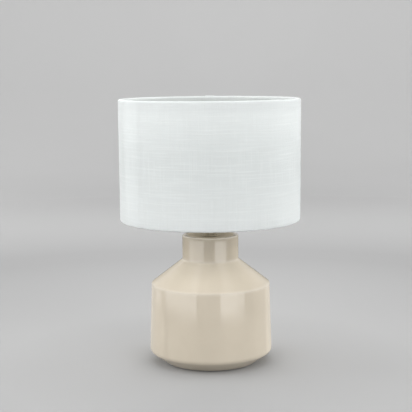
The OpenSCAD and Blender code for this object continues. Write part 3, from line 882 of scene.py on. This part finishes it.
FINISHES = {
    RUBBER: ["cord_grommet", "inner_gasket"],
    GREY_RUBBER: ["neck_gasket"],
    BLACK_PLASTIC: ["rod_bush"],
    DULL_ZINC: ["seat_plate", "neck_spacer"],
    ZINC: ["threaded_rod", "inner_washer", "lock_washer", "hex_nut", "cap_lock_screw",
           "terminal_screws", "contact_rivets"],
    WHITE_PLASTIC: ["holder_cap", "shade_ring"],
    BLOCK: ["contact_block"],
    BRASS: ["terminal_plates", "centre_contact"],
    ENAMEL: ["top_ring", "bottom_ring", "carrier_arms", "carrier_washer"],
    SOLDER: ["bulb_contact"],
    BLACK_GLASS: ["bulb_insulator"],
    BULB_PLASTIC: ["bulb_housing"],
    BOARD: ["led_board"],
    OPAL: ["bulb_dome"],
}
for finish, names in FINISHES.items():
    for name in names:
        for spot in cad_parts[name].material_slots:
            spot.material = finish


# ------------------------------------------------------------------ camera

CAMERA_AT = Vector((-0.00572, -1.4370, 0.40705))
PITCH = 0.1313                # downwards, in radians
ROLL = -0.0073
forward = Vector((0, math.cos(PITCH), -math.sin(PITCH)))
upward = Vector((0, math.sin(PITCH), math.cos(PITCH)))
sideways = Vector((1, 0, 0))
right = math.cos(ROLL) * sideways + math.sin(ROLL) * upward
up = -math.sin(ROLL) * sideways + math.cos(ROLL) * upward
lens = bpy.data.cameras.new("camera")
lens.lens = 91.45
lens.sensor_width = 36
camera = link(bpy.data.objects.new("camera", lens))
turn = Matrix((right, up, -forward)).transposed().to_4x4()
camera.matrix_world = Matrix.Translation(CAMERA_AT) @ turn
bpy.context.scene.camera = camera


# ------------------------------------------------------------------ floor, backdrop and lights

PAPER_NEAR = 0.360            # how light the paper is by the lamp,
PAPER_MIDDLE = 0.285          # half-way out,
PAPER_COVE = 0.470            # where the floor curves up,
PAPER_WALL = 0.425            # and above that
TABLE_R = 0.42                # the glaze mirrors the floor out to here,
FADE_R = 0.62                 # and less and less of it out to here
FLOOR_R = 1.9
COVE_R = 0.9
WALL_H = 2.6
CARD_R = 0.50
PANEL_R = 3.0                 # the side panels stand outside the backdrop, which casts no shadow
UPPER_R = 1.5
AIM_Z = 0.10                  # the height that the side panels' elevations are counted from
WORLD_LIGHT = 0.58

# azimuths count in degrees from the camera's side towards +X
# cards: name, from, to, lowest and highest point in metres, whether black
CARDS = (
    ("dark_card_left", -150, -100, 0.050, 0.115, True),
    ("dark_card_right", 72, 150, 0.050, 0.115, True),
    ("grey_card_left", -179, -150, 0.050, 0.250, False),
    ("grey_card_right", 150, 179, 0.050, 0.250, False),
    ("grey_card_front", -100, 72, 0.100, 0.300, False),
)
# panels at the sides: name, from, to, lowest and highest elevation, radiance, whether the glaze mirrors it
SIDE_LIGHTS = (
    ("panel_left", -60, -27, -26, 48, 2.0, True),
    ("edge_left", -95, -60, -26, 48, 1.6, True),
    ("strip_left", -128, -110, -26, -10, 0.8, True),
    ("panel_right", 18, 52, -26, 48, 2.8, True),
    ("strip_right", 52, 66, -13, 48, 2.1, True),
    ("fill_left", -130, -80, -6, 29, 5.2, False),
    ("fill_right", 75, 125, -6, 29, 4.2, False),
)
# panels above, which the glaze doesn't mirror: name, azimuth, elevation, width, length, radiance
UPPER_LIGHTS = (
    ("top_light", 0, 90, 1.2, 1.2, 1.2),
    ("upper_front", 0, 42, 1.4, 0.7, 1.5),
    ("upper_back", 180, 42, 1.6, 0.8, 2.5),
)
# panels above that are there only for the glaze to mirror
GLAZE_LIGHTS = (
    ("card_left", -125, 63, 0.55, 0.80, 0.6),
    ("card_right", 125, 63, 0.55, 0.80, 0.6),
)


def make_paper(fading):
    """Plain pale paper. Its tone evens out the light that falls on the floor and the backdrop."""
    look = Look("pale_paper_fading" if fading else "pale_paper")
    place = look.node("ShaderNodeSeparateXYZ", {0: look.place()}).outputs
    radius = look.math("POWER", look.math("ADD", look.math("MULTIPLY", place[0], place[0]),
                                          look.math("MULTIPLY", place[1], place[1])), 0.5)
    tone = look.blend(look.ramp(radius, 0.3, 0.8), (PAPER_NEAR,) * 3, (PAPER_MIDDLE,) * 3)
    tone = look.blend(look.ramp(radius, 0.9, 1.9), tone, (PAPER_COVE,) * 3)
    tone = look.blend(look.ramp(radius, 2.1, 2.6), tone, (PAPER_WALL,) * 3)
    shader = look.principled(Base_Color=tone, Roughness=0.9, Specular_IOR_Level=0.0)
    if fading:
        clear = look.node("ShaderNodeBsdfTransparent").outputs[0]
        shader = look.mixed(look.ramp(radius, TABLE_R, FADE_R), shader, clear)
    return look.finish(shader)


def make_bowl(name, path, material, glossy):
    """A surface of revolution of the stage, the same from all sides."""
    columns = 128
    verts, faces = [], []
    for r, z in path:
        for i in range(columns):
            a = 2 * math.pi * i / columns
            verts.append((r * math.cos(a), r * math.sin(a), z))
    for k in range(len(path) - 1):
        for i in range(columns):
            j = (i + 1) % columns
            faces.append((k * columns + i, k * columns + j, (k + 1) * columns + j, (k + 1) * columns + i))
    obj = plain_object(name, verts, faces, material)
    obj.data.shade_smooth()
    obj.visible_glossy = glossy
    return obj


def make_card(name, from_deg, to_deg, low_z, high_z, material):
    """A low card that stands round the lamp and shows only in its glossy surfaces."""
    columns = 24
    verts, faces = [], []
    for i in range(columns + 1):
        a = math.radians(from_deg + (to_deg - from_deg) * i / columns)
        for z in (low_z, high_z):
            verts.append((CARD_R * math.sin(a), -CARD_R * math.cos(a), z))
    for i in range(columns):
        faces.append((2 * i, 2 * i + 1, 2 * i + 3, 2 * i + 2))
    obj = plain_object(name, verts, faces, material)
    hide(obj)


def hide(obj):
    """Lets only glossy rays see the object."""
    obj.visible_camera = False
    obj.visible_diffuse = False
    obj.visible_transmission = False
    obj.visible_shadow = False


def make_stage():
    """Paper floor and backdrop, and the cards. Past the fading edge the glaze mirrors no floor."""
    paper = make_paper(False)
    make_bowl("table_floor", [(0.0001, 0), (0.15, 0), (TABLE_R, 0)], paper, True)
    make_bowl("far_floor", [(TABLE_R, 0), (0.8, 0), (FLOOR_R, 0)], paper, False)
    cove = arc((FLOOR_R, COVE_R), COVE_R, -90, 0, 16)[1:]
    backdrop = make_bowl("backdrop", [(FLOOR_R, 0)] + cove + [(FLOOR_R + COVE_R, WALL_H)], paper, False)
    backdrop.visible_shadow = False
    hide(make_bowl("fading_edge", [(TABLE_R, 0.1 * MM), (FADE_R, 0.1 * MM)], make_paper(True), True))
    black = make_moulded("black_card", (0.010,) * 3, (0.016,) * 3, 0.85, 0.95)
    grey = make_moulded("grey_card", (0.19,) * 3, (0.21,) * 3, 0.85, 0.95)
    for *place, dark in CARDS:
        make_card(*place, black if dark else grey)


def panel(name, width, height, radiance, mirrored):
    """A flat soft light of even radiance. The camera doesn't see it, and the glaze only if mirrored."""
    data = bpy.data.lights.new(name, "AREA")
    data.shape = "RECTANGLE"
    data.size = width
    data.size_y = height
    data.energy = radiance * math.pi * width * height
    obj = link(bpy.data.objects.new(name, data))
    obj.visible_camera = False
    obj.visible_glossy = mirrored
    return obj


def turn_to(obj, way):
    """Makes a light shine along a direction."""
    obj.rotation_euler = way.to_track_quat("-Z", "Y").to_euler()


def side_light(name, from_deg, to_deg, low_deg, high_deg, radiance, mirrored):
    """An upright panel behind the backdrop, between two azimuths and two elevations."""
    half = math.radians(to_deg - from_deg) / 2
    low_z = AIM_Z + PANEL_R * math.tan(math.radians(low_deg))
    high_z = AIM_Z + PANEL_R * math.tan(math.radians(high_deg))
    obj = panel(name, 2 * PANEL_R * math.tan(half), high_z - low_z, radiance, mirrored)
    a = math.radians((from_deg + to_deg) / 2)
    obj.location = (PANEL_R * math.sin(a), -PANEL_R * math.cos(a), (low_z + high_z) / 2)
    turn_to(obj, Vector((-obj.location.x, -obj.location.y, 0)))


def upper_light(name, azimuth, climb, width, long, radiance, mirrored):
    """A panel high up that faces the lamp; climb is its elevation in degrees."""
    obj = panel(name, width, long, radiance, mirrored)
    a, e = math.radians(azimuth), math.radians(climb)
    way = Vector((math.cos(e) * math.sin(a), -math.cos(e) * math.cos(a), math.sin(e)))
    obj.location = way * UPPER_R
    turn_to(obj, -way)
    return obj


make_stage()
for row in SIDE_LIGHTS:
    side_light(*row)
for row in UPPER_LIGHTS:
    upper_light(*row, mirrored=False)
for row in GLAZE_LIGHTS:
    upper_light(*row, mirrored=True).visible_diffuse = False

world = bpy.data.worlds.new("studio")
world.use_nodes = True
world.node_tree.nodes["Background"].inputs["Color"].default_value = (1, 1, 1, 1)
world.node_tree.nodes["Background"].inputs["Strength"].default_value = WORLD_LIGHT
bpy.context.scene.world = world
bpy.context.scene.view_settings.view_transform = "Standard"
